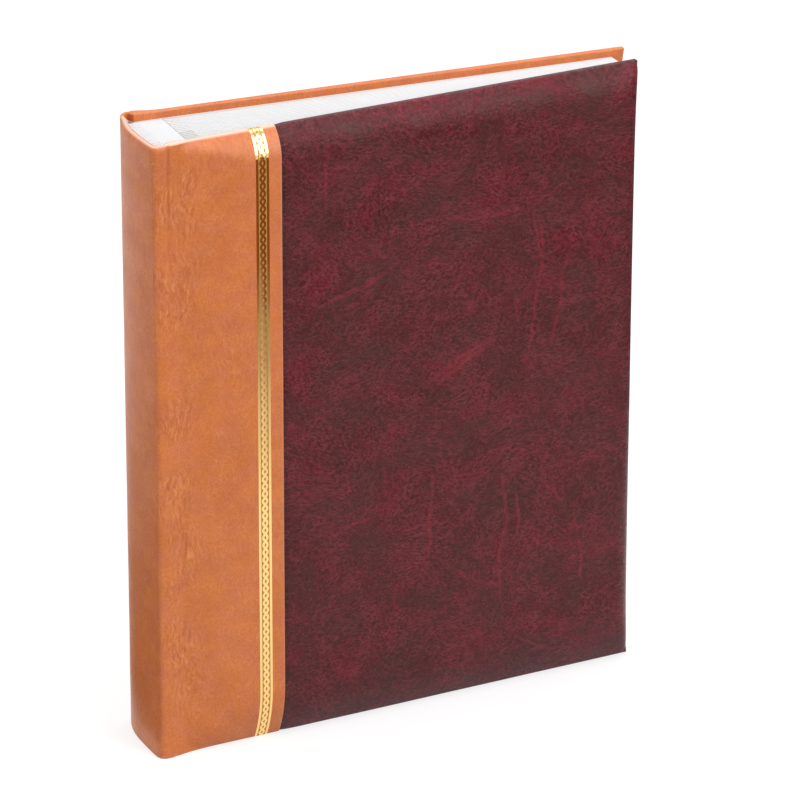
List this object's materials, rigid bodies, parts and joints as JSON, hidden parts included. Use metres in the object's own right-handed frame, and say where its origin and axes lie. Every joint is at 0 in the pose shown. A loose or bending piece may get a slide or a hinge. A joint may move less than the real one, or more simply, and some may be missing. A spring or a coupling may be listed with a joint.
{
  "type": "stamp album",
  "caption": "Padded stock book with a round spine, quarter leatherette case, gold band and hinged card leaves with clear strips for stamps; both covers open and the leaves fan out.",
  "frame": {"origin": "centre of the bounding box on the surface the album stands on", "axes": "+X from the spine to the fore-edge, -Y the front cover, +Z from tail to head"},
  "size_m": [0.248, 0.054, 0.305],
  "materials": {
    "tan_leather": "veined satin leatherette",
    "burgundy_leather": "veined satin leatherette",
    "gold_foil": "hot stamped foil",
    "greyboard": "matt board",
    "foam": "open cell foam",
    "linen": "woven cloth",
    "endpaper": "matt paper",
    "leaf_card": "smooth white card",
    "strip_film": "clear film"
  },
  "bodies": {
    "spine": {"spine_leather": "tan_leather", "spine_card": "greyboard", "spine_lining": "linen", "spacer_stubs": "greyboard", "linen_hinges": "linen"},
    "front_cover": {"front_board": "greyboard", "front_board_filler": "greyboard", "front_pastedown": "endpaper", "front_padding": "foam", "front_quarter_leather": "tan_leather", "front_panel_leather": "burgundy_leather", "gold_band": "gold_foil"},
    "back_cover": {"back_board": "greyboard", "back_board_filler": "greyboard", "back_pastedown": "endpaper", "back_padding": "foam", "back_leather": "tan_leather"},
    "front_flyleaf": {"front_flyleaf": "endpaper"},
    "leaf_01": {"leaf_01": "leaf_card", "leaf_01_strips": "strip_film"},
    "leaf_02": {"leaf_02": "leaf_card", "leaf_02_strips": "strip_film"},
    "leaf_03": {"leaf_03": "leaf_card", "leaf_03_strips": "strip_film"},
    "leaf_04": {"leaf_04": "leaf_card", "leaf_04_strips": "strip_film"},
    "leaf_05": {"leaf_05": "leaf_card", "leaf_05_strips": "strip_film"},
    "leaf_06": {"leaf_06": "leaf_card", "leaf_06_strips": "strip_film"},
    "leaf_07": {"leaf_07": "leaf_card", "leaf_07_strips": "strip_film"},
    "leaf_08": {"leaf_08": "leaf_card", "leaf_08_strips": "strip_film"},
    "leaf_09": {"leaf_09": "leaf_card", "leaf_09_strips": "strip_film"},
    "leaf_10": {"leaf_10": "leaf_card", "leaf_10_strips": "strip_film"},
    "leaf_11": {"leaf_11": "leaf_card", "leaf_11_strips": "strip_film"},
    "leaf_12": {"leaf_12": "leaf_card", "leaf_12_strips": "strip_film"},
    "leaf_13": {"leaf_13": "leaf_card", "leaf_13_strips": "strip_film"},
    "leaf_14": {"leaf_14": "leaf_card", "leaf_14_strips": "strip_film"},
    "leaf_15": {"leaf_15": "leaf_card", "leaf_15_strips": "strip_film"},
    "leaf_16": {"leaf_16": "leaf_card", "leaf_16_strips": "strip_film"},
    "back_flyleaf": {"back_flyleaf": "endpaper"}
  },
  "joints": [
    {"name": "front_cover_hinge", "type": "hinge", "parent": "spine", "child": "front_cover", "pos_m": [-0.11475, -0.02201, 0], "axis": [0, 0, -1], "range_deg": [0, 180]},
    {"name": "back_cover_hinge", "type": "hinge", "parent": "spine", "child": "back_cover", "pos_m": [-0.11475, 0.02201, 0], "axis": [0, 0, 1], "range_deg": [0, 180]},
    {"name": "front_flyleaf_hinge", "type": "hinge", "parent": "spine", "child": "front_flyleaf", "pos_m": [-0.10025, -0.01776, 0], "axis": [0, 0, -1], "range_deg": [0, 88]},
    {"name": "leaf_01_hinge", "type": "hinge", "parent": "spine", "child": "leaf_01", "pos_m": [-0.10025, -0.01568, 0], "axis": [0, 0, -1], "range_deg": [0, 88]},
    {"name": "leaf_02_hinge", "type": "hinge", "parent": "spine", "child": "leaf_02", "pos_m": [-0.10025, -0.01358, 0], "axis": [0, 0, -1], "range_deg": [0, 88]},
    {"name": "leaf_03_hinge", "type": "hinge", "parent": "spine", "child": "leaf_03", "pos_m": [-0.10025, -0.0115, 0], "axis": [0, 0, -1], "range_deg": [0, 88]},
    {"name": "leaf_04_hinge", "type": "hinge", "parent": "spine", "child": "leaf_04", "pos_m": [-0.10025, -0.00941, 0], "axis": [0, 0, -1], "range_deg": [0, 88]},
    {"name": "leaf_05_hinge", "type": "hinge", "parent": "spine", "child": "leaf_05", "pos_m": [-0.10025, -0.00732, 0], "axis": [0, 0, -1], "range_deg": [0, 88]},
    {"name": "leaf_06_hinge", "type": "hinge", "parent": "spine", "child": "leaf_06", "pos_m": [-0.10025, -0.00522, 0], "axis": [0, 0, -1], "range_deg": [0, 88]},
    {"name": "leaf_07_hinge", "type": "hinge", "parent": "spine", "child": "leaf_07", "pos_m": [-0.10025, -0.00314, 0], "axis": [0, 0, -1], "range_deg": [0, 88]},
    {"name": "leaf_08_hinge", "type": "hinge", "parent": "spine", "child": "leaf_08", "pos_m": [-0.10025, -0.00104, 0], "axis": [0, 0, -1], "range_deg": [0, 88]},
    {"name": "leaf_09_hinge", "type": "hinge", "parent": "spine", "child": "leaf_09", "pos_m": [-0.10025, 0.00104, 0], "axis": [0, 0, 1], "range_deg": [0, 88]},
    {"name": "leaf_10_hinge", "type": "hinge", "parent": "spine", "child": "leaf_10", "pos_m": [-0.10025, 0.00314, 0], "axis": [0, 0, 1], "range_deg": [0, 88]},
    {"name": "leaf_11_hinge", "type": "hinge", "parent": "spine", "child": "leaf_11", "pos_m": [-0.10025, 0.00522, 0], "axis": [0, 0, 1], "range_deg": [0, 88]},
    {"name": "leaf_12_hinge", "type": "hinge", "parent": "spine", "child": "leaf_12", "pos_m": [-0.10025, 0.00732, 0], "axis": [0, 0, 1], "range_deg": [0, 88]},
    {"name": "leaf_13_hinge", "type": "hinge", "parent": "spine", "child": "leaf_13", "pos_m": [-0.10025, 0.00941, 0], "axis": [0, 0, 1], "range_deg": [0, 88]},
    {"name": "leaf_14_hinge", "type": "hinge", "parent": "spine", "child": "leaf_14", "pos_m": [-0.10025, 0.0115, 0], "axis": [0, 0, 1], "range_deg": [0, 88]},
    {"name": "leaf_15_hinge", "type": "hinge", "parent": "spine", "child": "leaf_15", "pos_m": [-0.10025, 0.01358, 0], "axis": [0, 0, 1], "range_deg": [0, 88]},
    {"name": "leaf_16_hinge", "type": "hinge", "parent": "spine", "child": "leaf_16", "pos_m": [-0.10025, 0.01568, 0], "axis": [0, 0, 1], "range_deg": [0, 88]},
    {"name": "back_flyleaf_hinge", "type": "hinge", "parent": "spine", "child": "back_flyleaf", "pos_m": [-0.10025, 0.01776, 0], "axis": [0, 0, 1], "range_deg": [0, 88]}
  ],
  "couplings": [
    {"joint": "front_flyleaf_hinge", "follows": "front_cover_hinge", "ratio": 0.48},
    {"joint": "leaf_01_hinge", "follows": "front_cover_hinge", "ratio": 0.4267},
    {"joint": "leaf_02_hinge", "follows": "front_cover_hinge", "ratio": 0.3733},
    {"joint": "leaf_03_hinge", "follows": "front_cover_hinge", "ratio": 0.32},
    {"joint": "leaf_04_hinge", "follows": "front_cover_hinge", "ratio": 0.2667},
    {"joint": "leaf_05_hinge", "follows": "front_cover_hinge", "ratio": 0.2133},
    {"joint": "leaf_06_hinge", "follows": "front_cover_hinge", "ratio": 0.16},
    {"joint": "leaf_07_hinge", "follows": "front_cover_hinge", "ratio": 0.1067},
    {"joint": "leaf_08_hinge", "follows": "front_cover_hinge", "ratio": 0.0533},
    {"joint": "leaf_09_hinge", "follows": "back_cover_hinge", "ratio": 0.0533},
    {"joint": "leaf_10_hinge", "follows": "back_cover_hinge", "ratio": 0.1067},
    {"joint": "leaf_11_hinge", "follows": "back_cover_hinge", "ratio": 0.16},
    {"joint": "leaf_12_hinge", "follows": "back_cover_hinge", "ratio": 0.2133},
    {"joint": "leaf_13_hinge", "follows": "back_cover_hinge", "ratio": 0.2667},
    {"joint": "leaf_14_hinge", "follows": "back_cover_hinge", "ratio": 0.32},
    {"joint": "leaf_15_hinge", "follows": "back_cover_hinge", "ratio": 0.3733},
    {"joint": "leaf_16_hinge", "follows": "back_cover_hinge", "ratio": 0.4267},
    {"joint": "back_flyleaf_hinge", "follows": "back_cover_hinge", "ratio": 0.48}
  ]
}
